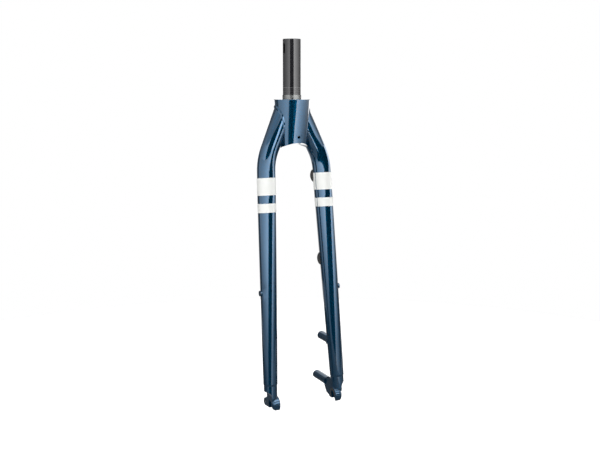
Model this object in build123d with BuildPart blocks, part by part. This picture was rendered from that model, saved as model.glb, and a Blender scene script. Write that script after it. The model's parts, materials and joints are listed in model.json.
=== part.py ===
from build123d import *
from math import atan2, cos, degrees, hypot, pi, radians, sin, tan
import os

os.makedirs("parts", exist_ok=True)

# A rigid disc-brake bicycle fork, in millimetres.
# The origin is on the steering axis at the crown's top face, where the crown race sits.
# +Z runs up the steerer, -Y is forward and +X is the rider's left, the brake side.

# Steerer
STEERER_DIAMETER = 28.6
STEERER_WALL = 1.6
STEERER_RISE = 95.0
RACE_SEAT_DIAMETER = 30.0
RACE_SEAT_HEIGHT = 7.0
STEERER_FOOT_DIAMETER = 29.6
STEERER_SLOT_WIDTH = 7.5
STEERER_SLOT_LENGTH = 17.3
STEERER_SLOT_DROP = 6.5
STEERER_TOP_CHAMFER = 0.4

# Crown
CROWN_TOP_DIAMETER = 58.0
CROWN_TAPER = radians(3.2)
CROWN_HEIGHT = 68.7
CROWN_EDGE_ROUND = 0.8
ARCH_RADIUS = 43.0
CROWN_HOLE_DIAMETER = 5.0
CROWN_HOLE_RISE = 9.2
STEERER_FOOT_GAP = 2.7

# Wheel
AXLE_DROP = 480.0
RAKE = 48.0
HUB_WIDTH = 100.0
AXLE_SLOT_WIDTH = 9.5
AXLE_SLOT_LEAN = radians(26)

# Legs, laid out in a plane that leans forward from the steering axis to the axle
LEG_PLANE_DROP = 31.0
LEG_DIAMETER = 30.6
LEG_END_DIAMETER = 22.6
LEG_WALL = 1.8
CROWN_SPLAY = radians(24.4)
BEND_RADIUS = 90.0
BEND_DROP = 64.0
BEND_SPREAD = 48.96
TAPER_DROP = 125.0
TUBE_INSET = 1.1
ROOT_COVER = 3.0

# Dropouts
DROPOUT_REACH = 30.0
DROPOUT_THICKNESS = 13.0
PLUG_STEP = 0.7
PLUG_LENGTH = 29.0
PLUG_END_ROUND = 6.0
SPIGOT_LENGTH = 14.0
SPIGOT_CLEARANCE = 0.1
OUTER_FLAT_TOP = 19.0
OUTER_FLAT_ROUND = 8.0
PLATE_TOP = 24.0
NECK_FRONT = -2.0
NECK_REAR = 9.0
CLAW_RADIUS = 12.6
CLAW_FORWARD = 0.8
CLAW_DROP = 2.6
CLAW_OUTER_ROUND = 6.0
CLAW_INNER_ROUND = 1.0
PLATE_DEPTH = 8.4
SHOULDER = 8.5
HEEL_BEHIND = 20.6
HEEL_DEPTH = 3.3
ARM_BEHIND = 28.5
ARM_BOTTOM = 7.8
ARM_TOP = 18.5
EYELET_BEHIND = 17.5
EYELET_DEPTH = 2.8
EYELET_RADIUS = 6.2
EYELET_DRILL = 4.2

# Disc brake posts, on the rider's left
POST_SPACING = 74.0
POST_DIAMETER = 14.2
POST_LOWER_LENGTH = 42.0
POST_TILT = radians(13)
POST_ARM_TILT = radians(2)
POST_FACE_DISTANCE = 67.5
POST_LATERAL = 4.5
POST_DRILL = 5.0
POST_THREAD_DEPTH = 18.0
POST_EDGE_CHAMFER = 0.8

# Rack bosses, on the outside of both legs
BOSS_DROP = 276.0
BOSS_DIAMETER = 9.0
BOSS_PROUD = 2.2
BOSS_SHANK_DIAMETER = 7.0
BOSS_SHANK_REACH = 5.0
BOSS_DRILL = 4.2

# Hose ports with rubber grommets, on the inner rear of the left leg
PORT_UPPER_DROP = 92.0
PORT_LOWER_DROP = 228.0
PORT_BEARING = radians(116)
GROMMET_LENGTH = 20.0
GROMMET_WIDTH = 9.5
GROMMET_PROUD = 4.2
GROMMET_ARCH = 15.5
GROMMET_ROUND = 1.6
GROMMET_LIP = 1.5
GROMMET_SHANK_REACH = 3.0
GROMMET_SHANK_RISE = 0.6
HOSE_DIAMETER = 5.0

# White bands round the legs
RIGHT_BAND_DROP = 93.2
LEFT_BAND_DROP = 88.1
UPPER_BAND_HEIGHT = 27.6
BAND_SPACE = 13.0
LOWER_BAND_HEIGHT = 14.3
BAND_THICKNESS = 0.2
BAND_GLUE = 0.05
BAND_SEAM = 1.3
BAND_SEAM_BEARING = radians(72)
BAND_PORT_CLEARANCE = 0.3

# Welds
CROWN_WELD = 1.5
DROPOUT_WELD = 2.6
POST_WELD = 2.0

LEFT = 1
RIGHT = -1

# Derived layout
CROWN_HOLE_DROP = CROWN_HEIGHT - CROWN_HOLE_RISE
FALL = AXLE_DROP - LEG_PLANE_DROP
RAKE_ANGLE = atan2(RAKE, FALL)
AXLE_ALONG = hypot(RAKE, FALL)
END_ALONG = AXLE_ALONG - DROPOUT_REACH
END_SPREAD = HUB_WIDTH / 2 + LEG_END_DIAMETER / 2 - TUBE_INSET
LEG_SPLAY = atan2(END_SPREAD - BEND_SPREAD, END_ALONG - BEND_DROP)
BEND_TURN = CROWN_SPLAY - LEG_SPLAY
BEND_TANGENT = BEND_RADIUS * tan(BEND_TURN / 2)
ROOT_SPREAD = CROWN_TOP_DIAMETER / 2 - LEG_DIAMETER / 2 * cos(CROWN_SPLAY) - ROOT_COVER
REAR_UP = Vector(0, cos(POST_TILT), sin(POST_TILT))
UP_FORWARD = Vector(0, -sin(POST_TILT), cos(POST_TILT))
ARM_REAR = Vector(0, cos(POST_ARM_TILT), sin(POST_ARM_TILT))
ARM_UP = Vector(0, -sin(POST_ARM_TILT), cos(POST_ARM_TILT))


def leg_direction(side, splay):
    """Direction down a leg that leans outwards by splay."""
    return Vector(side * sin(splay), -sin(RAKE_ANGLE) * cos(splay), -cos(RAKE_ANGLE) * cos(splay))


def leg_inward(side):
    """Direction from the straight part of a leg towards the wheel, square to the leg."""
    sunk = sin(LEG_SPLAY)
    return Vector(-side * cos(LEG_SPLAY), -sin(RAKE_ANGLE) * sunk, -cos(RAKE_ANGLE) * sunk)


def leg_radial(side, bearing):
    """Direction out of a leg, at a bearing from its front towards the wheel."""
    forward = Vector(0, -cos(RAKE_ANGLE), sin(RAKE_ANGLE))
    return forward * cos(bearing) + leg_inward(side) * sin(bearing)


def plane_point(side, spread, along):
    """Point in the legs' plane, along it from where it crosses the steering axis."""
    return Vector(side * spread, -sin(RAKE_ANGLE) * along, -LEG_PLANE_DROP - cos(RAKE_ANGLE) * along)


def leg_point(side, along):
    """Point on the axis of a leg's straight part."""
    return plane_point(side, END_SPREAD - (END_ALONG - along) * tan(LEG_SPLAY), along)


def leg_radius(along):
    """Outer radius of a leg's straight part."""
    share = max(0, (along - TAPER_DROP) / (END_ALONG - TAPER_DROP))
    return (LEG_DIAMETER + (LEG_END_DIAMETER - LEG_DIAMETER) * share) / 2


def leg_face(side, along, bearing):
    """Plane on a leg's axis that looks out at a bearing, with its x axis down the leg."""
    return Plane(leg_point(side, along), leg_direction(side, LEG_SPLAY), leg_radial(side, bearing))


def leg_form(side, inset):
    """Solid form of a leg, root to end, with its radius reduced by inset."""
    radius = LEG_DIAMETER / 2 - inset
    end_radius = LEG_END_DIAMETER / 2 - inset
    upper = leg_direction(side, CROWN_SPLAY)
    lower = leg_direction(side, LEG_SPLAY)
    forward = leg_radial(side, 0)
    corner = leg_point(side, BEND_DROP)
    bend_start = corner - upper * BEND_TANGENT
    bend_end = corner + lower * BEND_TANGENT
    root = corner - upper * ((BEND_SPREAD - ROOT_SPREAD) / sin(CROWN_SPLAY))
    bend_centre = bend_end + leg_inward(side) * BEND_RADIUS
    taper_start = (leg_point(side, TAPER_DROP) - bend_end).length
    tube_end = (leg_point(side, END_ALONG) - bend_end).length
    with BuildPart() as form:
        with BuildSketch(Plane(root, forward, upper)):
            Circle(radius)
        extrude(amount=(bend_start - root).length)
        with BuildSketch(Plane(bend_end, forward, lower)):
            Circle(radius)
        revolve(axis=Axis(bend_centre, forward * side), revolution_arc=degrees(BEND_TURN))
        with BuildSketch(Plane(bend_end, leg_inward(side), forward * -side)):
            with BuildLine():
                Polyline(
                    (0, 0),
                    (radius, 0),
                    (radius, -taper_start),
                    (end_radius, -tube_end),
                    (0, -tube_end),
                    close=True,
                )
            make_face()
        revolve(axis=Axis(bend_end, lower))
    return form.part


# Steerer tube
STEERER_FOOT = -(CROWN_HEIGHT - STEERER_FOOT_GAP)
SLOT_MIDDLE = STEERER_RISE - STEERER_SLOT_DROP - STEERER_SLOT_LENGTH / 2
with BuildPart() as steerer_tube:
    with BuildSketch(Plane.XY.offset(STEERER_FOOT)):
        Circle(STEERER_FOOT_DIAMETER / 2)
    extrude(amount=-STEERER_FOOT)
    with BuildSketch():
        Circle(RACE_SEAT_DIAMETER / 2)
    extrude(amount=RACE_SEAT_HEIGHT)
    with BuildSketch(Plane.XY.offset(RACE_SEAT_HEIGHT)):
        Circle(STEERER_DIAMETER / 2)
    extrude(amount=STEERER_RISE - RACE_SEAT_HEIGHT)
    with BuildSketch(Plane.XY.offset(STEERER_FOOT)):
        Circle(STEERER_DIAMETER / 2 - STEERER_WALL)
    extrude(amount=STEERER_RISE - STEERER_FOOT, mode=Mode.SUBTRACT)
    chamfer(steerer_tube.faces().sort_by(Axis.Z)[-1].edges(), STEERER_TOP_CHAMFER)
    with BuildSketch(Plane((0, 0, SLOT_MIDDLE), (0, 0, 1), (-1, 0, 0))):
        SlotOverall(STEERER_SLOT_LENGTH, STEERER_SLOT_WIDTH)
    extrude(amount=STEERER_DIAMETER, mode=Mode.SUBTRACT)
    with BuildSketch(Plane.XZ.offset(-STEERER_DIAMETER)):
        with Locations((0, -CROWN_HOLE_DROP)):
            Circle(CROWN_HOLE_DIAMETER / 2)
    extrude(amount=2 * STEERER_DIAMETER, mode=Mode.SUBTRACT)
steerer_tube.part.label = "steerer_tube"
export_step(steerer_tube.part, "parts/steerer_tube.step")

# Crown: a cone, arched below for the tyre
CONE_HEIGHT = CROWN_HEIGHT + ARCH_RADIUS


def arched_cone(growth):
    """Solid form of the crown, with its radius increased by growth."""
    top_radius = CROWN_TOP_DIAMETER / 2 + growth
    with BuildPart() as form:
        with BuildSketch(Plane.XZ):
            with BuildLine():
                Polyline(
                    (0, 0),
                    (top_radius, 0),
                    (top_radius - CONE_HEIGHT * tan(CROWN_TAPER), -CONE_HEIGHT),
                    (0, -CONE_HEIGHT),
                    close=True,
                )
            make_face()
        revolve(axis=Axis.Z)
        with BuildSketch(Plane.XZ.offset(-CROWN_TOP_DIAMETER)):
            with Locations((0, -CONE_HEIGHT)):
                Circle(ARCH_RADIUS)
        extrude(amount=2 * CROWN_TOP_DIAMETER, mode=Mode.SUBTRACT)
    return form.part


crown_form = arched_cone(0)
with BuildPart() as crown:
    add(crown_form)
    fillet(crown.faces().sort_by(Axis.Z)[-1].edges(), CROWN_EDGE_ROUND)
    with BuildSketch():
        Circle(STEERER_FOOT_DIAMETER / 2)
    extrude(amount=-CONE_HEIGHT, mode=Mode.SUBTRACT)
    with BuildSketch(Plane.XZ.offset(-CROWN_TOP_DIAMETER)):
        with Locations((0, -CROWN_HOLE_DROP)):
            Circle(CROWN_HOLE_DIAMETER / 2)
    extrude(amount=2 * CROWN_TOP_DIAMETER, mode=Mode.SUBTRACT)
crown.part.label = "crown"
export_step(crown.part, "parts/crown.step")


def port_bar(drop, outer, length, width):
    """Rounded bar square to the left leg at a hose port, from the shank's end to outer beyond the skin."""
    inner = LEG_WALL + GROMMET_SHANK_REACH
    with BuildPart() as bar:
        with BuildSketch(leg_face(LEFT, drop, PORT_BEARING).offset(leg_radius(drop) - inner)):
            SlotOverall(length, width)
        extrude(amount=inner + outer)
    return bar.part


def boss_shank(side, diameter, inner, outer):
    """Round bar square to a leg's outer side, from inner to outer, measured from the leg's skin."""
    skin = leg_radius(BOSS_DROP)
    with BuildPart() as bar:
        with BuildSketch(leg_face(side, BOSS_DROP, -pi / 2).offset(skin - inner)):
            Circle(diameter / 2)
        extrude(amount=inner + outer)
    return bar.part


# Legs: bent tapered tubes, coped on the crown, bored for the bosses and the hose ports
left_form = leg_form(LEFT, 0)
right_form = leg_form(RIGHT, 0)
PORT_DROPS = {"upper": PORT_UPPER_DROP, "lower": PORT_LOWER_DROP}
PORT_LENGTH = GROMMET_LENGTH - 2 * GROMMET_LIP
PORT_WIDTH = GROMMET_WIDTH - 2 * GROMMET_LIP

with BuildPart() as right_leg:
    add(right_form)
    add(leg_form(RIGHT, LEG_WALL), mode=Mode.SUBTRACT)
    add(crown_form, mode=Mode.SUBTRACT)
    add(boss_shank(RIGHT, BOSS_SHANK_DIAMETER, BOSS_SHANK_REACH, BOSS_PROUD), mode=Mode.SUBTRACT)
right_leg.part.label = "right_leg"
export_step(right_leg.part, "parts/right_leg.step")

with BuildPart() as left_leg:
    add(left_form)
    add(leg_form(LEFT, LEG_WALL), mode=Mode.SUBTRACT)
    add(crown_form, mode=Mode.SUBTRACT)
    add(boss_shank(LEFT, BOSS_SHANK_DIAMETER, BOSS_SHANK_REACH, BOSS_PROUD), mode=Mode.SUBTRACT)
    for drop in PORT_DROPS.values():
        add(port_bar(drop, GROMMET_PROUD, PORT_LENGTH, PORT_WIDTH), mode=Mode.SUBTRACT)
left_leg.part.label = "left_leg"
export_step(left_leg.part, "parts/left_leg.step")

# Rack bosses: a flange saddled on the leg, a shank through its wall and a tapped hole
for side, form, name in ((LEFT, left_form, "left_rack_boss"), (RIGHT, right_form, "right_rack_boss")):
    with BuildPart() as boss:
        add(boss_shank(side, BOSS_DIAMETER, BOSS_SHANK_REACH, BOSS_PROUD))
        add(form, mode=Mode.SUBTRACT)
        add(boss_shank(side, BOSS_SHANK_DIAMETER, BOSS_SHANK_REACH, BOSS_PROUD))
        add(boss_shank(side, BOSS_DRILL, BOSS_SHANK_REACH, BOSS_PROUD), mode=Mode.SUBTRACT)
    boss.part.label = name
    export_step(boss.part, f"parts/{name}.step")

# Hose grommets: an arched rubber lip on the leg, a shank through the port and a bore for the hose
for place, drop in PORT_DROPS.items():
    outward = leg_radial(LEFT, PORT_BEARING)
    arch_middle = leg_point(LEFT, drop) + outward * (leg_radius(drop) + GROMMET_PROUD - GROMMET_ARCH)
    across = outward.cross(leg_direction(LEFT, LEG_SPLAY))
    with BuildPart() as grommet:
        add(port_bar(drop, GROMMET_PROUD, GROMMET_LENGTH, GROMMET_WIDTH))
        with BuildSketch(Plane(arch_middle, outward, across)):
            Circle(GROMMET_ARCH)
        extrude(amount=GROMMET_WIDTH, both=True, mode=Mode.INTERSECT)
        fillet(grommet.faces().sort_by(Axis(arch_middle, outward))[-1].edges(), GROMMET_ROUND)
        add(left_form, mode=Mode.SUBTRACT)
        add(port_bar(drop, GROMMET_SHANK_RISE, PORT_LENGTH, PORT_WIDTH))
        with BuildSketch(leg_face(LEFT, drop, PORT_BEARING)):
            Circle(HOSE_DIAMETER / 2)
        extrude(amount=LEG_DIAMETER, mode=Mode.SUBTRACT)
    grommet.part.label = f"{place}_hose_grommet"
    export_step(grommet.part, f"parts/{place}_hose_grommet.step")


# Bands: thin sleeves with a seam on the side towards the wheel
def band(side, drop, height):
    """Sleeve glued on a leg, from drop downwards, between planes square to the legs' plane."""
    with BuildPart() as sleeve:
        with BuildSketch(Plane(leg_point(side, drop), (1, 0, 0), leg_direction(side, 0))):
            Rectangle(2 * LEG_DIAMETER, 2 * LEG_DIAMETER)
        extrude(amount=height)
        add(leg_form(side, -BAND_GLUE - BAND_THICKNESS), mode=Mode.INTERSECT)
        add(leg_form(side, -BAND_GLUE), mode=Mode.SUBTRACT)
        with BuildSketch(leg_face(side, drop, BAND_SEAM_BEARING)):
            Rectangle(4 * height, BAND_SEAM)
        extrude(amount=LEG_DIAMETER, mode=Mode.SUBTRACT)
    return sleeve.part


for side, name, drop in ((LEFT, "left", LEFT_BAND_DROP), (RIGHT, "right", RIGHT_BAND_DROP)):
    lower_drop = drop + UPPER_BAND_HEIGHT + BAND_SPACE
    with BuildPart() as upper_band:
        add(band(side, drop, UPPER_BAND_HEIGHT))
        if side == LEFT:
            port_length = GROMMET_LENGTH + 2 * BAND_PORT_CLEARANCE
            port_width = GROMMET_WIDTH + 2 * BAND_PORT_CLEARANCE
            add(port_bar(PORT_UPPER_DROP, GROMMET_PROUD, port_length, port_width), mode=Mode.SUBTRACT)
    upper_band.part.label = f"{name}_upper_band"
    export_step(upper_band.part, f"parts/{name}_upper_band.step")
    with BuildPart() as lower_band:
        add(band(side, lower_drop, LOWER_BAND_HEIGHT))
    lower_band.part.label = f"{name}_lower_band"
    export_step(lower_band.part, f"parts/{name}_lower_band.step")


# Dropouts
def hub_face(side):
    """Plane of the hub's end, centred on the axle, with x forward and y up."""
    return Plane((side * HUB_WIDTH / 2, -RAKE, -AXLE_DROP), (0, -1, 0), (-1, 0, 0))


def dropout_plug(side):
    """Round plug and spigot in a leg's end, flat towards the hub, stepped outside and rounded below."""
    end = leg_point(side, END_ALONG)
    down = leg_direction(side, LEG_SPLAY)
    plug_radius = LEG_END_DIAMETER / 2 - PLUG_STEP
    spigot_radius = LEG_END_DIAMETER / 2 - LEG_WALL - SPIGOT_CLEARANCE
    outer_face = side * (HUB_WIDTH / 2 + DROPOUT_THICKNESS)
    flat_top = OUTER_FLAT_TOP - AXLE_DROP
    with BuildPart() as plug:
        with BuildSketch(Plane(end, leg_radial(side, 0), down)):
            Circle(plug_radius)
        extrude(amount=PLUG_LENGTH)
        fillet(plug.faces().sort_by(Axis(end, down))[-1].edges(), PLUG_END_ROUND)
        with BuildSketch(Plane(end, leg_radial(side, 0), down)):
            Circle(spigot_radius)
        extrude(amount=-SPIGOT_LENGTH)
        with BuildSketch(hub_face(side)):
            Rectangle(4 * LEG_END_DIAMETER, 4 * DROPOUT_REACH)
        extrude(amount=side * LEG_END_DIAMETER, mode=Mode.SUBTRACT)
        with BuildSketch(Plane.XZ.offset(RAKE - LEG_END_DIAMETER * 2)) as flat:
            with Locations((outer_face + side * LEG_END_DIAMETER, flat_top - LEG_END_DIAMETER)):
                Rectangle(2 * LEG_END_DIAMETER, 2 * LEG_END_DIAMETER)
            fillet(flat.vertices().sort_by_distance((outer_face, flat_top))[0], OUTER_FLAT_ROUND)
        extrude(amount=4 * LEG_END_DIAMETER, mode=Mode.SUBTRACT)
    return plug.part


def dropout_claw(side):
    """Round claw on the hub's face, with a well rounded outer rim, cut off below behind the axle slot."""
    middle = Vector(side * HUB_WIDTH / 2, -RAKE - CLAW_FORWARD, -AXLE_DROP - CLAW_DROP)
    in_slot = PLATE_DEPTH * tan(AXLE_SLOT_LEAN)
    with BuildPart() as claw:
        with BuildSketch(Plane(middle, (side, 0, 0), (0, -side, 0))) as profile:
            with BuildLine():
                Polyline(
                    (0, 0),
                    (DROPOUT_THICKNESS, 0),
                    (DROPOUT_THICKNESS, CLAW_RADIUS),
                    (0, CLAW_RADIUS),
                    close=True,
                )
            make_face()
            fillet(profile.vertices().sort_by_distance((DROPOUT_THICKNESS, CLAW_RADIUS))[0], CLAW_OUTER_ROUND)
            fillet(profile.vertices().sort_by_distance((0, CLAW_RADIUS))[0], CLAW_INNER_ROUND)
        revolve(axis=Axis(middle, (1, 0, 0)))
        with BuildSketch(hub_face(side)):
            with Locations((in_slot, -PLATE_DEPTH)):
                Rectangle(2 * CLAW_RADIUS, CLAW_RADIUS, align=(Align.MAX, Align.MAX))
        extrude(amount=-side * DROPOUT_THICKNESS, mode=Mode.SUBTRACT)
    return claw.part


def dropout_plate(side, rear_points):
    """Flat plate of a dropout on the hub's face, from inside the plug to behind the claw."""
    with BuildPart() as plate:
        with BuildSketch(hub_face(side)):
            with BuildLine():
                Polyline((NECK_FRONT, PLATE_TOP), (NECK_FRONT, -PLATE_DEPTH), *rear_points, close=True)
            make_face()
        extrude(amount=-side * DROPOUT_THICKNESS)
    return plate.part


def axle_slot(side):
    """Open slot for the axle, leaning forward as it goes down."""
    mouth = 4 * CLAW_RADIUS
    with BuildPart() as slot:
        with BuildSketch(hub_face(side)):
            SlotCenterPoint(
                (mouth / 2 * sin(AXLE_SLOT_LEAN), -mouth / 2 * cos(AXLE_SLOT_LEAN)), (0, 0), AXLE_SLOT_WIDTH
            )
        extrude(amount=-side * DROPOUT_THICKNESS)
    return slot.part


def post_plane(offset):
    """Plane of a brake post's end face, at an offset up the line of the posts."""
    axle = Vector(HUB_WIDTH / 2 + POST_LATERAL, -RAKE, -AXLE_DROP)
    return Plane(axle + REAR_UP * POST_FACE_DISTANCE + UP_FORWARD * offset, (1, 0, 0), REAR_UP)


def post_rod(offset, length):
    """Round rod of a brake post, cut off at its end face."""
    face = post_plane(offset)
    with BuildPart() as rod:
        with BuildSketch(Plane(face.origin - ARM_REAR * length, (1, 0, 0), ARM_REAR)):
            Circle(POST_DIAMETER / 2)
        extrude(amount=length + POST_DIAMETER)
        with BuildSketch(face):
            Rectangle(4 * POST_DIAMETER, 4 * POST_DIAMETER)
        extrude(amount=2 * POST_DIAMETER, mode=Mode.SUBTRACT)
        chamfer(rod.faces().sort_by(Axis(face.origin, REAR_UP))[-1].edges(), POST_EDGE_CHAMFER)
    return rod.part


def post_hole(offset):
    """Tapped hole, square to a brake post's end face."""
    with BuildPart() as hole:
        with BuildSketch(post_plane(offset)):
            Circle(POST_DRILL / 2)
        extrude(amount=-POST_THREAD_DEPTH)
    return hole.part


with BuildPart() as right_dropout:
    add(dropout_plug(RIGHT))
    add(dropout_claw(RIGHT))
    add(
        dropout_plate(
            RIGHT,
            [
                (-EYELET_BEHIND, -EYELET_DEPTH - EYELET_RADIUS),
                (-EYELET_BEHIND, -EYELET_DEPTH + EYELET_RADIUS),
                (-NECK_REAR, SHOULDER),
                (-NECK_REAR, PLATE_TOP),
            ],
        )
    )
    with BuildSketch(hub_face(RIGHT)):
        with Locations((-EYELET_BEHIND, -EYELET_DEPTH)):
            Circle(EYELET_RADIUS)
    extrude(amount=DROPOUT_THICKNESS)
    with BuildSketch(hub_face(RIGHT)):
        with Locations((-EYELET_BEHIND, -EYELET_DEPTH)):
            Circle(EYELET_DRILL / 2)
    extrude(amount=DROPOUT_THICKNESS, mode=Mode.SUBTRACT)
    add(axle_slot(RIGHT), mode=Mode.SUBTRACT)
right_dropout.part.label = "right_dropout"
export_step(right_dropout.part, "parts/right_dropout.step")

with BuildPart() as left_dropout:
    add(dropout_plug(LEFT))
    add(dropout_claw(LEFT))
    add(
        dropout_plate(
            LEFT,
            [
                (-HEEL_BEHIND, -HEEL_DEPTH),
                (-ARM_BEHIND, ARM_BOTTOM),
                (-ARM_BEHIND, ARM_TOP),
                (-NECK_REAR, PLATE_TOP),
            ],
        )
    )
    add(post_rod(0, POST_LOWER_LENGTH))
    add(post_hole(0), mode=Mode.SUBTRACT)
    add(axle_slot(LEFT), mode=Mode.SUBTRACT)
left_dropout.part.label = "left_dropout"
export_step(left_dropout.part, "parts/left_dropout.step")

# Upper brake post: a bored rod coped on the left leg
upper_face = post_plane(POST_SPACING)
leg_normal = leg_radial(LEFT, 0)
upper_post_length = (upper_face.origin - plane_point(LEFT, 0, 0)).dot(leg_normal) / ARM_REAR.dot(leg_normal)
upper_post_foot = upper_face.origin - ARM_REAR * upper_post_length
UPPER_POST_ALONG = (upper_post_foot - plane_point(LEFT, 0, 0)).length
upper_rod = post_rod(POST_SPACING, upper_post_length)
with BuildPart() as upper_brake_post:
    add(upper_rod)
    add(left_form, mode=Mode.SUBTRACT)
    add(post_hole(POST_SPACING), mode=Mode.SUBTRACT)
upper_brake_post.part.label = "upper_brake_post"
export_step(upper_brake_post.part, "parts/upper_brake_post.step")

# Welds between crown and legs, in the corner that the two forms make
for side, form, name in ((LEFT, left_form, "left_crown_weld"), (RIGHT, right_form, "right_crown_weld")):
    with BuildPart() as crown_weld:
        add(arched_cone(CROWN_WELD))
        add(leg_form(side, -CROWN_WELD), mode=Mode.INTERSECT)
        add(crown_form, mode=Mode.SUBTRACT)
        add(form, mode=Mode.SUBTRACT)
    crown_weld.part.label = name
    export_step(crown_weld.part, f"parts/{name}.step")

# Welds between legs and dropouts, in the step at the end of each tube
for side, name in ((LEFT, "left_dropout_weld"), (RIGHT, "right_dropout_weld")):
    tube_end = leg_point(side, END_ALONG)
    tube_radius = LEG_END_DIAMETER / 2
    with BuildPart() as dropout_weld:
        with BuildSketch(Plane(tube_end, leg_inward(side), leg_radial(side, 0) * -side)):
            with BuildLine():
                Polyline(
                    (tube_radius - PLUG_STEP, 0),
                    (tube_radius, 0),
                    (tube_radius - PLUG_STEP, -DROPOUT_WELD),
                    close=True,
                )
            make_face()
        revolve(axis=Axis(tube_end, leg_direction(side, LEG_SPLAY)))
    dropout_weld.part.label = name
    export_step(dropout_weld.part, f"parts/{name}.step")

# Weld round the foot of the upper brake post: a collar that tapers off above the leg's skin
post_radius = POST_DIAMETER / 2
skin_drop = upper_post_length - leg_radius(UPPER_POST_ALONG)
with BuildPart() as upper_post_weld:
    with BuildSketch(Plane(upper_face.origin, (1, 0, 0), ARM_UP)):
        with BuildLine():
            Polyline(
                (0, -upper_post_length),
                (post_radius + POST_WELD, -upper_post_length),
                (post_radius + POST_WELD, -skin_drop),
                (post_radius, POST_WELD - skin_drop),
                (0, POST_WELD - skin_drop),
                close=True,
            )
        make_face()
    revolve(axis=Axis(upper_face.origin, ARM_REAR))
    add(leg_form(LEFT, -POST_WELD), mode=Mode.INTERSECT)
    add(left_form, mode=Mode.SUBTRACT)
    add(upper_rod, mode=Mode.SUBTRACT)
upper_post_weld.part.label = "upper_post_weld"
export_step(upper_post_weld.part, "parts/upper_post_weld.step")
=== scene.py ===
# %% [markdown]
# # A rigid bicycle fork
# The fork is one welded and painted piece: a steerer tube, a crown, two bent and tapered legs and two
# dropouts. The solids already have the right shape and size, so this lesson leaves them alone and adds what
# solids don't have: finishes, cut threads, and a small studio to look at them in.

# %% Load the frame
import json
from math import cos, pi, radians, sin

import bmesh
import bpy
from mathutils import Euler, Matrix, Vector


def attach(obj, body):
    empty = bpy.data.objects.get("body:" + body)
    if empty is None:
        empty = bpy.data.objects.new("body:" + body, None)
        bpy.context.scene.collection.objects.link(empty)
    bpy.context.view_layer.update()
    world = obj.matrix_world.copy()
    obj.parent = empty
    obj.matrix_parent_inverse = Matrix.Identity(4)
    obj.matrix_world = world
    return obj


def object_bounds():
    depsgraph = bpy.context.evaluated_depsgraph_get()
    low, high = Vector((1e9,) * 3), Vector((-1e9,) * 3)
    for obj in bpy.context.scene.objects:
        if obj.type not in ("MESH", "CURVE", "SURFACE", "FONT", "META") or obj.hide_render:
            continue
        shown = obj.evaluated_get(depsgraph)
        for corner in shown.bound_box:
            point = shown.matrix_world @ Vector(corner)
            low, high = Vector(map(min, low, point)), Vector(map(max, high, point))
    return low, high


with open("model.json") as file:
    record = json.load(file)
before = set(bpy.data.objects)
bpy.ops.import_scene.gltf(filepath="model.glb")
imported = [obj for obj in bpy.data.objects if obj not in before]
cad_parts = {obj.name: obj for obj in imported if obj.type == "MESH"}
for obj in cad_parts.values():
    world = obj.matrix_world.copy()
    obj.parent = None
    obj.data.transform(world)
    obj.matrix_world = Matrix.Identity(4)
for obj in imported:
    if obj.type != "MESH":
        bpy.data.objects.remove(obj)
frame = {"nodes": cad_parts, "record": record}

CAD_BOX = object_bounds()
MOUNTS = {mount["name"]: mount for mount in frame["record"]["mounts"]}
print("nodes:", len(frame["nodes"]), "mounts:", len(MOUNTS))


# %% [markdown]
# ## Writing shaders as expressions
# A finish is a tree of nodes. Built node by node, even `1 - mask` takes four lines, so one small class wraps
# a socket and adds a Math node for each operator.


# %% Wires
class Wire:
    """An output socket in a node tree. Arithmetic on it adds Math nodes."""

    def __init__(self, tree, socket):
        self.tree = tree
        self.socket = socket

    def math(self, operation, first, second):
        return self.tree.node("ShaderNodeMath", {"operation": operation}, {0: first, 1: second})

    def __add__(self, other):
        return self.math("ADD", self, other)

    def __radd__(self, other):
        return self.math("ADD", other, self)

    def __sub__(self, other):
        return self.math("SUBTRACT", self, other)

    def __rsub__(self, other):
        return self.math("SUBTRACT", other, self)

    def __mul__(self, other):
        return self.math("MULTIPLY", self, other)

    def __rmul__(self, other):
        return self.math("MULTIPLY", other, self)

    def __truediv__(self, other):
        return self.math("DIVIDE", self, other)

    def __rtruediv__(self, other):
        return self.math("DIVIDE", other, self)

    def __pow__(self, other):
        return self.math("POWER", self, other)

    def __lt__(self, other):
        return self.math("LESS_THAN", self, other)

    def __gt__(self, other):
        return self.math("GREATER_THAN", self, other)

    def __abs__(self):
        return self.math("ABSOLUTE", self, 0)


print("wires ready")

# %% [markdown]
# Every other kind of node comes from one method that takes its type, its settings and what goes into its
# sockets. A few mixtures are wanted again and again, such as a colour between two others or a value that
# goes up and down, so they get short names too.


# %% Trees and finishes
def grey(shade):
    """Colour with the same share of red, green and blue."""
    return (shade, shade, shade, 1)


class Tree:
    """The node tree of a material or of the world."""

    def __init__(self, owner):
        owner.use_nodes = True
        self.nodes = owner.node_tree.nodes
        self.links = owner.node_tree.links

    def node(self, kind, settings=None, sockets=None, output=0):
        """Adds a node, sets it, fills its sockets and returns one of its outputs."""
        made = self.nodes.new(kind)
        for name, value in (settings or {}).items():
            setattr(made, name, value)
        self.fill(made, sockets or {})
        return Wire(self, made.outputs[output])

    def fill(self, node, sockets):
        """Puts a wire or a plain value into each named socket of a node."""
        for name, value in sockets.items():
            if isinstance(value, Wire):
                self.links.new(value.socket, node.inputs[name])
            else:
                node.inputs[name].default_value = value

    def tint(self, factor, first, second):
        """Colour that goes from first to second as factor goes from 0 to 1."""
        return self.node(
            "ShaderNodeMix",
            {"data_type": "RGBA"},
            {"Factor": factor, "A": first, "B": second},
            output="Result",
        )

    def clamp(self, value, low=0.0, high=1.0):
        """Value that is held between two limits."""
        return self.node("ShaderNodeClamp", None, {"Value": value, "Min": low, "Max": high})


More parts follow.
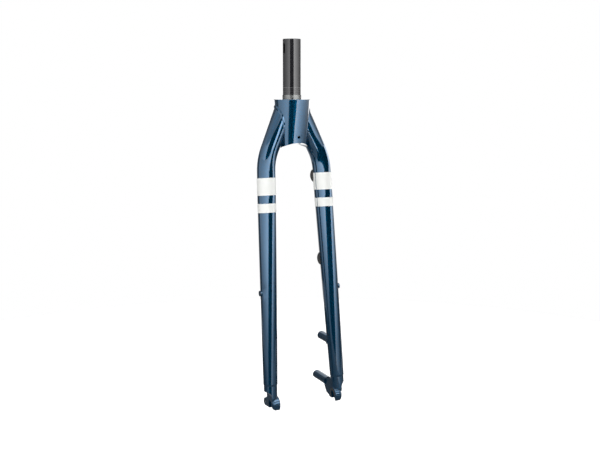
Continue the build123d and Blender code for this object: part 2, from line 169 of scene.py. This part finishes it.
class Finish(Tree):
    """A material with one Principled shader, whose plain values are given by socket name."""

    def __init__(self, name, plain):
        self.material = bpy.data.materials.new(name)
        super().__init__(self.material)
        self.shader = self.nodes["Principled BSDF"]
        self.fill(self.shader, plain)
        self.place = self.node("ShaderNodeTexCoord", output="Object")

    def noise(self, scale, detail=2.0):
        """Cloudy value between 0 and 1, with scale in features per metre."""
        return self.node("ShaderNodeTexNoise", None, {"Vector": self.place, "Scale": scale, "Detail": detail})

    def parts(self, vector):
        """The three numbers of a vector."""
        apart = self.nodes.new("ShaderNodeSeparateXYZ")
        self.fill(apart, {0: vector})
        return [Wire(self, socket) for socket in apart.outputs]

    def zigzag(self, value, pitch):
        """Goes up from 0 to 1 over one pitch of a value, and down again over the next."""
        folded = self.node("ShaderNodeMath", {"operation": "PINGPONG"}, {0: value, 1: pitch})
        return folded / pitch

    def relief(self, height, depth):
        """Sends a height between 0 and 1 to the shader as a bump of a real depth in metres."""
        bump = self.node("ShaderNodeBump", None, {"Height": height, "Strength": 1.0, "Distance": depth})
        self.fill(self.shader, {"Normal": bump})


print("trees and finishes ready")

# %% [markdown]
# ## The bare rings
# Paint is kept off two places: the seat that a headset race is pressed on, at the foot of the steerer, and
# the faces that the wheel's hub is clamped between. Separate pieces of bare metal could lie there, but they
# would stand proud of the solids. Both are masks instead, worked out from object coordinates, so they stay
# on the part from every side.

# %% Sizes of the bare rings
MM = 0.001
AXLE = Vector(MOUNTS["front_axle"]["pos_m"])
SEAT_TOP = MOUNTS["crown_race_seat"]["dims"]["length_mm"] * MM
HUB_FACE = 50 * MM
HUB_RING = 7.8 * MM
FACE_DEPTH = 0.3 * MM
TURNING_PITCH = 0.35 * MM
BARE_METAL = grey(0.2)
print("hub face at", round(HUB_FACE / MM, 2), "mm, race seat", round(SEAT_TOP / MM, 2), "mm high")

# %% [markdown]
# ## Navy paint
# The frame paint is a dark navy with a little metal flake under a clear lacquer. One way is a plain glossy
# blue, but its highlights would be white only. Most of the light here goes to a metallic layer, which gives
# the blue highlight, and the clear coat on top gives the sharp one. Fine cells stand for the flakes, and a
# shallow relief for the skin of sprayed paint.

# %% Mix the navy paint
NAVY = (0.0005, 0.045, 0.104, 1)
NAVY_FLAKE = (0.003, 0.062, 0.132, 1)
NAVY_LACQUER = {"Specular IOR Level": 0.0, "Coat Roughness": 0.015, "Coat IOR": 1.6}
NAVY_ROUGHNESS = 0.1
FLAKES_PER_METRE = 2600
FLAKE_METAL = 0.75
FLAKE_ROUGHNESS = 0.06
BRIGHT_FLAKE_POWER = 3
BARE_ROUGHNESS = 0.2
PEEL_PER_METRE = 420
PEEL_DEPTH = 0.006 * MM


def navy_paint():
    paint = Finish("navy_paint", NAVY_LACQUER)
    flake = paint.node(
        "ShaderNodeTexVoronoi",
        {"feature": "F1"},
        {"Vector": paint.place, "Scale": FLAKES_PER_METRE},
        output="Color",
    )
    spark = paint.node("ShaderNodeSeparateColor", None, {0: flake})
    x, y, z = paint.parts(paint.place)
    reach = ((y - AXLE.y) ** 2 + (z - AXLE.z) ** 2) ** 0.5
    bare = (reach < HUB_RING) * (abs(x) < HUB_FACE + FACE_DEPTH)
    navy = paint.tint(spark ** BRIGHT_FLAKE_POWER, NAVY, NAVY_FLAKE)
    paint.fill(
        paint.shader,
        {
            "Base Color": paint.tint(bare, navy, BARE_METAL),
            "Metallic": FLAKE_METAL + (1 - FLAKE_METAL) * bare,
            "Roughness": NAVY_ROUGHNESS + FLAKE_ROUGHNESS * spark + BARE_ROUGHNESS * bare,
            "Coat Weight": 1 - bare,
        },
    )
    turned = paint.zigzag(reach, TURNING_PITCH)
    paint.relief(paint.noise(PEEL_PER_METRE) * (1 - bare) + turned * bare, PEEL_DEPTH)
    return paint.material


NAVY_PAINT = navy_paint()
print("mixed", NAVY_PAINT.name)

# %% [markdown]
# ## Black steerer
# Above the crown the steerer has a neutral black gloss. Its lowest few millimetres are turned bare for the
# race, and a pale ring and some faint lines show how far the lathe went above that. The inside is dull and
# uncoated, and its near black is painted shade, as deep in the bore and the slot. Grooves could be cut for
# the lines, but they have hardly any depth, so a value that goes up and down along Z draws them. The distance
# from the axis tells the outside from the bore.

# %% Mix the black gloss
BLACK = (0.006, 0.006, 0.008, 1)
BLACK_WORN = (0.016, 0.016, 0.019, 1)
BLACK_LACQUER = {"Specular IOR Level": 0.05, "Coat Roughness": 0.04, "Coat IOR": 1.55}
BLACK_ROUGHNESS = 0.3
WEAR_PER_METRE = 60
WEAR_ROUGHNESS = 0.1
SEAT_EDGE = 0.05 * MM
SEAT_RADIUS = MOUNTS["crown_race_seat"]["dims"]["r_mm"] * MM - FACE_DEPTH
SEAT_STEEL = (0.17, 0.175, 0.172, 1)
TURNED_TOP = 18.4 * MM
RING_HALF = 0.5 * MM
RING_STRENGTH = 0.7
LINE_PITCH = 1.6 * MM
LINE_SHARE = 0.3
LINE_STRENGTH = 0.3
LINE_GREY = (0.11, 0.11, 0.115, 1)
# Painted shade: the bore's near black stands in for the shade deep inside the steerer and its slot.
BORE_PAINTED_SHADE = grey(0.002)
BORE_RADIUS = MOUNTS["steerer"]["dims"]["r_mm"] * MM - FACE_DEPTH
BORE_ROUGHNESS = 0.5


def black_gloss():
    gloss = Finish("black_gloss", BLACK_LACQUER)
    x, y, z = gloss.parts(gloss.place)
    out = (x ** 2 + y ** 2) ** 0.5
    bare = (z > -SEAT_EDGE) * (z < SEAT_TOP + SEAT_EDGE) * (out > SEAT_RADIUS)
    # Mask of the bore, which is dull and uncoated, and whose colour is painted shade.
    dull_shaded_bore = out < BORE_RADIUS
    ring = abs(z - TURNED_TOP) < RING_HALF
    lines = (z > SEAT_TOP) * (z < TURNED_TOP) * (gloss.zigzag(z, LINE_PITCH) < LINE_SHARE)
    wear = gloss.noise(WEAR_PER_METRE, detail=4)
    black = gloss.tint(wear, BLACK, BLACK_WORN)
    lined = gloss.tint(RING_STRENGTH * ring + LINE_STRENGTH * lines, black, LINE_GREY)
    gloss.fill(
        gloss.shader,
        {
            "Base Color": gloss.tint(dull_shaded_bore, gloss.tint(bare, lined, SEAT_STEEL), BORE_PAINTED_SHADE),
            "Metallic": bare,
            "Roughness": BLACK_ROUGHNESS + WEAR_ROUGHNESS * wear + BORE_ROUGHNESS * dull_shaded_bore,
            "Coat Weight": (1 - bare) * (1 - dull_shaded_bore),
        },
    )
    turned = gloss.zigzag(z, TURNING_PITCH)
    gloss.relief(gloss.noise(PEEL_PER_METRE) * (1 - bare) + turned * bare, PEEL_DEPTH)
    return gloss.material


BLACK_GLOSS = black_gloss()
print("mixed", BLACK_GLOSS.name)

# %% [markdown]
# ## White film
# The four bands are thin gloss film stuck round the legs. Plain white would do from afar, but film yellows
# and picks up dust a little unevenly, so a soft cloud moves its colour and its gloss.

# %% Mix the film
FILM_WHITE = (0.83, 0.84, 0.815, 1)
FILM_SHADE = (0.79, 0.8, 0.775, 1)
FILM_GLOSS = {"Coat Roughness": 0.08, "Coat Weight": 0.3, "Sheen Weight": 0.25, "Sheen Roughness": 0.4}
FILM_ROUGHNESS = 0.28
YELLOWING_PER_METRE = 90
YELLOWING_ROUGHNESS = 0.1
FILM_SKIN_PER_METRE = 700


def white_film():
    film = Finish("white_film", FILM_GLOSS)
    cloud = film.noise(YELLOWING_PER_METRE, detail=5)
    film.fill(
        film.shader,
        {
            "Base Color": film.tint(cloud, FILM_WHITE, FILM_SHADE),
            "Roughness": FILM_ROUGHNESS + YELLOWING_ROUGHNESS * cloud,
        },
    )
    film.relief(film.noise(FILM_SKIN_PER_METRE), PEEL_DEPTH)
    return film.material


WHITE_FILM = white_film()
print("mixed", WHITE_FILM.name)

# %% [markdown]
# ## Rubber
# The lips round the two hose ports are moulded rubber. It could be a flat black, which would look like a
# hole, so it has dust on it and a fine grain that breaks up its highlight.

# %% Mix the rubber
RUBBER_BLACK = grey(0.012)
RUBBER_DUST = (0.03, 0.03, 0.031, 1)
RUBBER_SHINE = 0.35
RUBBER_ROUGHNESS = 0.55
DUST_PER_METRE = 160
GRAIN_PER_METRE = 2200
GRAIN_ROUGHNESS = 0.2
GRAIN_DEPTH = 0.03 * MM


def moulded_rubber():
    rubber = Finish("moulded_rubber", {"Specular IOR Level": RUBBER_SHINE})
    grain = rubber.noise(GRAIN_PER_METRE, detail=3)
    dust = rubber.noise(DUST_PER_METRE, detail=4)
    rubber.fill(
        rubber.shader,
        {
            "Base Color": rubber.tint(dust, RUBBER_BLACK, RUBBER_DUST),
            "Roughness": RUBBER_ROUGHNESS + GRAIN_ROUGHNESS * grain,
        },
    )
    rubber.relief(grain, GRAIN_DEPTH)
    return rubber.material


MOULDED_RUBBER = moulded_rubber()
print("mixed", MOULDED_RUBBER.name)

# %% [markdown]
# ## Dressing the solids
# Each solid has a slot name in the record. A list of twenty nodes and their finishes would say the same
# twice, so the finish is looked up by slot and put in the material slots of the node's own object. The
# meshes themselves aren't touched.

# %% Put the finishes on
SLOT_FINISH = {
    "frame_paint": NAVY_PAINT,
    "steerer_paint": BLACK_GLOSS,
    "white_film": WHITE_FILM,
    "rubber": MOULDED_RUBBER,
}
NODE_SLOT = {part["node"]: part["material_slot"] for part in frame["record"]["subparts"]}
for name, solid in frame["nodes"].items():
    for socket in solid.material_slots:
        socket.material = SLOT_FINISH[NODE_SLOT[name]]
print("dressed", len(frame["nodes"]), "solids")

# %% [markdown]
# ## Cut threads
# The brake posts, the rack bosses and the mudguard eyelet are tapped. A thread is a ridge that follows a
# helix on the wall of its hole, which is what Geometry Nodes do well: a spiral curve, swept with a small
# diamond that is half sunk in the wall. One tree with named inputs serves every hole.

# %% Build the thread tree
THREAD_SIZES = ("Radius", "Pitch", "Turns", "Ridge")
STEPS_PER_TURN = 28
BOTH_HALVES = 2.0
FLANK_SHARE = 0.42


def thread_tree():
    tree = bpy.data.node_groups.new("cut_thread", "GeometryNodeTree")
    for name in THREAD_SIZES:
        tree.interface.new_socket(name, in_out="INPUT", socket_type="NodeSocketFloat")
    tree.interface.new_socket("Finish", in_out="INPUT", socket_type="NodeSocketMaterial")
    tree.interface.new_socket("Thread", in_out="OUTPUT", socket_type="NodeSocketGeometry")

    def add(kind, links, **settings):
        made = tree.nodes.new(kind)
        for name, value in settings.items():
            setattr(made, name, value)
        for name, value in links.items():
            if isinstance(value, bpy.types.NodeSocket):
                tree.links.new(value, made.inputs[name])
            else:
                made.inputs[name].default_value = value
        return made

    def product(first, second):
        return add("ShaderNodeMath", {0: first, 1: second}, operation="MULTIPLY").outputs[0]

    given = add("NodeGroupInput", {}).outputs
    helix = add(
        "GeometryNodeCurveSpiral",
        {
            "Resolution": STEPS_PER_TURN,
            "Rotations": given["Turns"],
            "Start Radius": given["Radius"],
            "End Radius": given["Radius"],
            "Height": product(given["Pitch"], given["Turns"]),
        },
    )
    upright = add("GeometryNodeSetCurveNormal", {"Curve": helix.outputs[0]}, mode="Z_UP")
    flank = product(given["Pitch"], FLANK_SHARE)
    tooth = add(
        "GeometryNodeCurvePrimitiveQuadrilateral",
        {"Width": product(given["Ridge"], BOTH_HALVES), "Bottom Height": flank, "Top Height": flank},
        mode="KITE",
    )
    swept = add(
        "GeometryNodeCurveToMesh",
        {"Curve": upright.outputs[0], "Profile Curve": tooth.outputs[0], "Fill Caps": True},
    )
    real = add("GeometryNodeRealizeInstances", {0: swept.outputs[0]})
    dressed = add("GeometryNodeSetMaterial", {"Geometry": real.outputs[0], "Material": given["Finish"]})
    add("NodeGroupOutput", {"Thread": dressed.outputs[0]})
    return tree


THREAD_TREE = thread_tree()
THREAD_SOCKET = {
    item.name: item.identifier for item in THREAD_TREE.interface.items_tree if item.in_out == "INPUT"
}
print("thread inputs:", ", ".join(THREAD_SOCKET))

# %% [markdown]
# The tap cuts through the paint, so the ridges are bare metal with small scratches. A cloud between two
# greys is enough at this size.

# %% Mix the cut metal
CUT_DARK = (0.3, 0.3, 0.31, 1)
CUT_PALE = (0.45, 0.45, 0.46, 1)
CUT_ROUGHNESS = 0.3
SCRATCHES_PER_METRE = 900
SCRATCH_ROUGHNESS = 0.2


def cut_metal():
    metal = Finish("cut_metal", {"Metallic": 1.0})
    cloud = metal.noise(SCRATCHES_PER_METRE, detail=4)
    metal.fill(
        metal.shader,
        {
            "Base Color": metal.tint(cloud, CUT_DARK, CUT_PALE),
            "Roughness": CUT_ROUGHNESS + SCRATCH_ROUGHNESS * cloud,
        },
    )
    return metal.material


CUT_METAL = cut_metal()
print("mixed", CUT_METAL.name)

# %% [markdown]
# A mount's axis points out of its hole, so the thread is made upright at the origin, then its mesh is turned
# to that axis and moved to the deep end. Six-millimetre bolts have a pitch of 1 mm, five-millimetre ones
# 0.8 mm.

# %% Cut the threads
RIDGE_SHARE = 0.28
THREAD_LEAD = 0.7 * MM
PITCHES = {
    "brake_post_lower": 1.0 * MM,
    "brake_post_upper": 1.0 * MM,
    "left_rack_thread": 0.8 * MM,
    "right_rack_thread": 0.8 * MM,
    "mudguard_eyelet": 0.8 * MM,
}


def cut_thread(name, pitch):
    mount = MOUNTS[name]
    radius = mount["dims"]["r_mm"] * MM
    length = mount["dims"]["length_mm"] * MM - 2 * THREAD_LEAD
    raw = bpy.data.objects.new(name + "_raw", bpy.data.meshes.new(name + "_raw"))
    bpy.context.collection.objects.link(raw)
    maker = raw.modifiers.new("thread", "NODES")
    maker.node_group = THREAD_TREE
    values = {
        "Radius": radius,
        "Pitch": pitch,
        "Turns": length / pitch,
        "Ridge": RIDGE_SHARE * pitch,
        "Finish": CUT_METAL,
    }
    for key, value in values.items():
        maker[THREAD_SOCKET[key]] = value
    ready = raw.evaluated_get(bpy.context.evaluated_depsgraph_get())
    mesh = bpy.data.meshes.new_from_object(ready)
    bpy.data.objects.remove(raw)
    axis = Vector(mount["axis"])
    foot = Vector(mount["pos_m"]) - axis * (length + THREAD_LEAD)
    mesh.transform(Matrix.Translation(foot) @ axis.to_track_quat("Z", "Y").to_matrix().to_4x4())
    thread = bpy.data.objects.new(name + "_thread", mesh)
    bpy.context.collection.objects.link(thread)
    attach(thread, "root")
    return thread


for name, pitch in PITCHES.items():
    thread = cut_thread(name, pitch)
    print(thread.name, len(thread.data.polygons), "faces")

# %% [markdown]
# ## Camera
# The photograph was taken from the front and a little to the fork's right, at about the height of the crown.
# A shifted lens could frame it too, but other views keep the shift, so the camera is level from side to side
# and pitched down instead.

# %% Place the camera
CAMERA_PLACE = Vector((-0.6727, -1.3895, 0.0126))
CAMERA_HEADING = radians(26.319)
CAMERA_PITCH = radians(7.961)
CAMERA_LENS = 57.34
CAMERA_SENSOR = 36
view = bpy.data.cameras.new("view")
view.lens = CAMERA_LENS
view.sensor_width = CAMERA_SENSOR
camera = bpy.data.objects.new("view", view)
camera.location = CAMERA_PLACE
camera.rotation_euler = Euler((pi / 2 - CAMERA_PITCH, 0, -CAMERA_HEADING))
bpy.context.collection.objects.link(camera)
bpy.context.scene.camera = camera
print("camera", round(CAMERA_PLACE.length, 3), "m from the crown")

# %% [markdown]
# ## White surroundings
# The background is white. A white sheet under bright lamps would flood the fork with light, so the world is
# a soft grey lamp for everything that scatters light, and plain white for what the camera sees directly or
# in a reflection.

# %% Light the world
WORLD_LIGHT = 0.14
WHITE = grey(1)
NO_LIGHT = grey(0)


def seen_rays(tree):
    """1 for rays that the camera sends out itself, by way of gloss, or through something clear."""
    path = tree.nodes.new("ShaderNodeLightPath")
    rays = [Wire(tree, path.outputs["Is " + kind + " Ray"]) for kind in ("Camera", "Glossy", "Transmission")]
    return tree.clamp(rays[0] + rays[1] + rays[2])


world = bpy.data.worlds.new("studio")
bpy.context.scene.world = world
air = Tree(world)
air.fill(air.nodes["Background"], {"Color": air.tint(seen_rays(air), grey(WORLD_LIGHT), WHITE)})
bpy.context.scene.view_settings.view_transform = "Standard"
print("world light", WORLD_LIGHT)

# %% [markdown]
# The floor is a pale disc below the fork. It keeps its shadow, because only a part of its white is its own
# glow.

# %% Lay the floor
FLOOR_DROP = 0.11
FLOOR_HEIGHT = CAD_BOX[0].z - FLOOR_DROP
FLOOR_RADIUS = 1.25
FLOOR_CORNERS = 96
FLOOR_GREY = grey(0.8)
FLOOR_GLOW = 0.7
MATT = {"Roughness": 1.0, "Specular IOR Level": 0.0}


def disc(name, radius, height, corners):
    """Mesh of a flat round disc at one height."""
    mesh = bpy.data.meshes.new(name)
    shell = bmesh.new()
    bmesh.ops.create_circle(shell, cap_ends=True, segments=corners, radius=radius)
    shell.transform(Matrix.Translation((0, 0, height)))
    shell.to_mesh(mesh)
    shell.free()
    return mesh


def stage_piece(name, mesh, material):
    """An object of the studio, which isn't part of the fork."""
    mesh.materials.append(material)
    piece = bpy.data.objects.new(name, mesh)
    bpy.context.collection.objects.link(piece)
    return piece


def pale_floor():
    paper = Finish("pale_floor", {**MATT, "Base Color": FLOOR_GREY, "Emission Strength": FLOOR_GLOW})
    paper.fill(paper.shader, {"Emission Color": paper.tint(seen_rays(paper), NO_LIGHT, WHITE)})
    return paper.material


stage_piece("floor", disc("floor", FLOOR_RADIUS, FLOOR_HEIGHT, FLOOR_CORNERS), pale_floor())
print("floor at", round(FLOOR_HEIGHT, 3), "m")

# %% [markdown]
# ## Soft boxes
# Gloss paint shows its surroundings, so the streaks along the tubes are the shapes of the lamps. Flat lamps
# would do for a plain highlight, but a tube mirrors nearly everything round it. So the boxes and cards are
# upright sheets bent round the fork on large circles. An edge is a bearing in degrees, from the camera's own
# side and to its right, and it may lean, so it is a function of height. No sheet shows in front of the
# camera.

# %% Bend the sheets
SHEET_HEIGHTS = (-2.4, -1.5, -1.2, -0.9, -0.6, -0.3, 0.0, 0.3, 0.6, 0.9, 1.3, 1.8, 5.0)
BOX_RING = (8.0, SHEET_HEIGHTS)
CARD_RING = (8.6, SHEET_HEIGHTS)
ARC_STEPS = 40
CAMERA_SIDE = Vector((CAMERA_PLACE.x, CAMERA_PLACE.y, 0)).normalized()
RIGHT_HAND = Vector((-CAMERA_SIDE.y, CAMERA_SIDE.x, 0))


def steady(bearing):
    """Edge that stands upright at one bearing."""
    return lambda height: bearing


def bent_sheet(name, ring, left_edge, right_edge, material):
    """Sheet between two edges on a ring, which is a radius and the heights of the sheet's rows."""
    radius, heights = ring
    mesh = bpy.data.meshes.new(name)
    shell = bmesh.new()
    layer = shell.loops.layers.uv.new("sheet")
    rows = []
    for height in heights:
        start, stop = left_edge(height), right_edge(height)
        row = []
        for step in range(ARC_STEPS + 1):
            bearing = radians(start + (stop - start) * step / ARC_STEPS)
            spot = (CAMERA_SIDE * cos(bearing) + RIGHT_HAND * sin(bearing)) * radius
            row.append(shell.verts.new((spot.x, spot.y, height)))
        rows.append(row)
    for level in range(len(heights) - 1):
        for step in range(ARC_STEPS):
            corners = ((level, step), (level, step + 1), (level + 1, step + 1), (level + 1, step))
            face = shell.faces.new([rows[row][column] for row, column in corners])
            for loop, (row, column) in zip(face.loops, corners):
                loop[layer].uv = (column / ARC_STEPS, heights[row])
    shell.to_mesh(mesh)
    shell.free()
    sheet = stage_piece(name, mesh, material)
    sheet.visible_camera = False
    return sheet


print("sheets have", ARC_STEPS, "steps and", len(SHEET_HEIGHTS), "rows")

# %% [markdown]
# A soft box isn't equally bright all over: it fades away from its lamp, and a little near the ground and
# high up. The sheet's own UV map says how far across and how high a point is. Cards are plain matt paper.

# %% Cloth and paper
GROUND_FADE = 0.4
GROUND_DIMMEST = 0.45
SKY_FROM = 2.0
SKY_FADE = 0.2
SKY_DIMMEST = 0.6


def glowing(name, left, right, bend=1.0):
    """Cloth of a soft box, from one strength at its left edge to another at its right."""
    peak = max(left, right)
    cloth = Finish(name, {"Base Color": NO_LIGHT, "Specular IOR Level": 0.0, "Emission Strength": peak})
    across, up = cloth.parts(cloth.node("ShaderNodeUVMap", {"uv_map": "sheet"}))[:2]
    ground = cloth.clamp(1 + GROUND_FADE * up * across ** 2, low=GROUND_DIMMEST)
    sky = cloth.clamp(1 + SKY_FADE * SKY_FROM - SKY_FADE * up, low=SKY_DIMMEST)
    share = (left + (right - left) * across ** bend) / peak * ground * sky
    cloth.fill(cloth.shader, {"Emission Color": cloth.tint(share, NO_LIGHT, WHITE)})
    return cloth.material


def card(name, shade):
    """Matt paper of one shade."""
    return Finish(name, {**MATT, "Base Color": grey(shade)}).material


print("cloth fades to", GROUND_DIMMEST, "of its strength at the ground and", SKY_DIMMEST, "high up")

# %% [markdown]
# A wide box stands left of the camera and a narrow one at the right. The gap between them shows as the dark
# streak on a leg. It leans to the right as it goes up, which is what makes the streak wander across the leg
# on its way down.

# %% Stand the two front boxes up
WIDE_START = -97
NARROW_WIDTH = 80
LEAN_FOOT = -1.5


def gap_left(height, bearing=9, lean=27, top=1.8):
    """Left edge of the gap: its bearing at crown height, and its lean in degrees per metre up to a top."""
    return bearing + lean * min(max(height, LEAN_FOOT), top)


def gap_right(height, bearing=80, lean=49, top=0.6):
    """Right edge of the gap, in the same terms."""
    return bearing + lean * min(max(height, LEAN_FOOT), top)


def narrow_end(height):
    return gap_right(height) + NARROW_WIDTH


WIDE_CLOTH = glowing("wide_cloth", left=1.35, right=4.2, bend=1.8)
NARROW_CLOTH = glowing("narrow_cloth", left=6.6, right=0.6, bend=0.42)
bent_sheet("wide_soft_box", BOX_RING, steady(WIDE_START), gap_left, WIDE_CLOTH)
bent_sheet("narrow_soft_box", BOX_RING, gap_right, narrow_end, NARROW_CLOTH)
print("gap at crown height from", gap_left(0), "to", gap_right(0), "degrees")

# %% [markdown]
# A third box behind the fork keeps its rear from going dark. Behind the boxes stand the cards: a black one
# fills the gap in front, and grey ones at the sides keep the edges of the tubes darker than the white behind
# them.

# %% Stand the rear box and the cards up
BLACK_PAPER = card("black_paper", shade=0.005)
GREY_PAPER = card("grey_paper", shade=0.35)
REAR_CLOTH = glowing("rear_cloth", left=2.0, right=1.9)
for name, ring, start, stop, cover in (
    ("rear_soft_box", BOX_RING, 143, 217, REAR_CLOTH),
    ("front_card", CARD_RING, -60, 110, BLACK_PAPER),
    ("left_card", CARD_RING, -172, -95, GREY_PAPER),
    ("right_card", CARD_RING, 100, 172, GREY_PAPER),
):
    bent_sheet(name, ring, steady(start), steady(stop), cover)
    print(name, "from", start, "to", stop, "degrees")

# %% [markdown]
# The steerer stands above the rest and has a broad dark streak in the middle, between two pale ones. The big
# gap is placed for the legs, so the steerer gets a small black card and small soft boxes of its own, close
# by. They show in reflections alone, and neither light nor shade the crown below.

# %% Stand the small sheets round the steerer
STEERER_RING = (0.32, (-0.005, 0.13))


def reflected_only(sheet):
    """Leaves a sheet in reflections, where it neither lights nor shades anything."""
    sheet.visible_camera = False
    sheet.visible_diffuse = False
    sheet.visible_shadow = False


for name, start, stop, cover in (
    ("small_left_box", -170, -23, glowing("small_left_cloth", left=0.0, right=3.1, bend=2.1)),
    ("small_card", -23, 24, card("small_paper", shade=0.002)),
    ("small_right_box", 24, 112, glowing("small_right_cloth", left=5.8, right=0.3)),
    ("small_end_box", 112, 172, glowing("small_end_cloth", left=0.3, right=0.5)),
):
    reflected_only(bent_sheet(name, STEERER_RING, steady(start), steady(stop), cover))
    print(name, "from", start, "to", stop, "degrees")

# %% [markdown]
# Faces that look up, such as the shoulders of the legs and the tops of the claws, mirror what is high in
# front. A box up there gives them their highlights.

# %% Hang the high box
HIGH_RING = (5.0, (4.2, 8.0))
HIGH_EDGE = 70
HIGH_CLOTH = glowing("high_cloth", left=7.0, right=6.9)
reflected_only(bent_sheet("high_soft_box", HIGH_RING, steady(-HIGH_EDGE), steady(HIGH_EDGE), HIGH_CLOTH))
print("high box", 2 * HIGH_EDGE, "degrees wide")

# %% [markdown]
# Towards their lower ends the legs grow darker. Black paper would wipe the streaks out, so a thin black gauze
# stands round the lower ends and only covers a part of what is behind it. Faces that look down mirror a disc
# of paper below, which is pale in front and dark at the rear.


# %% Set up the gauze and the ground
def gauze(name, shade, clear, full, cover):
    """Thin cloth that is clear above one height and covers its most below another."""
    cloth = Finish(name, {**MATT, "Base Color": grey(shade)})
    z = cloth.parts(cloth.place)[2]
    cloth.fill(cloth.shader, {"Alpha": cover * cloth.clamp((clear - z) / (clear - full))})
    return cloth.material


def ground_paper(name, front, rear, reach):
    """Matt paper that goes from one shade at the front to another at the rear."""
    paper = Finish(name, MATT)
    y = paper.parts(paper.place)[1]
    share = paper.clamp(0.5 + y / (2 * reach))
    paper.fill(paper.shader, {"Base Color": paper.tint(share, grey(front), grey(rear))})
    return paper.material


LOW_RADIUS = 0.9
LOW_FOOT = -0.59
LOW_RING = (LOW_RADIUS, (LOW_FOOT, -0.22))
LOW_EDGE = 175
GROUND_CORNERS = 64
LOW_CLOTH = gauze("low_cloth", shade=0.02, clear=-0.24, full=-0.48, cover=0.62)
reflected_only(bent_sheet("low_gauze", LOW_RING, steady(-LOW_EDGE), steady(LOW_EDGE), LOW_CLOTH))
GROUND_PAPER = ground_paper("ground_paper", front=0.5, rear=0.02, reach=LOW_RADIUS)
GROUND_MESH = disc("ground_card", LOW_RADIUS, LOW_FOOT, GROUND_CORNERS)
reflected_only(stage_piece("ground_card", GROUND_MESH, GROUND_PAPER))
print("ground card at", LOW_FOOT, "m")

# %% [markdown]
# A large lamp overhead lights the tops of things, as the ceiling of a studio does. One more glowing sheet
# would do it too, but a lamp gives less noise.

# %% Hang the ceiling lamp
CEILING_HEIGHT = 2.2
CEILING_SIZE = 1.2
CEILING_POWER = 17
ceiling = bpy.data.lights.new("ceiling", "AREA")
ceiling.size = CEILING_SIZE
ceiling.energy = CEILING_POWER
lamp = bpy.data.objects.new("ceiling", ceiling)
lamp.location = (0, 0, CEILING_HEIGHT)
bpy.context.collection.objects.link(lamp)
print("ceiling lamp", CEILING_POWER, "W")
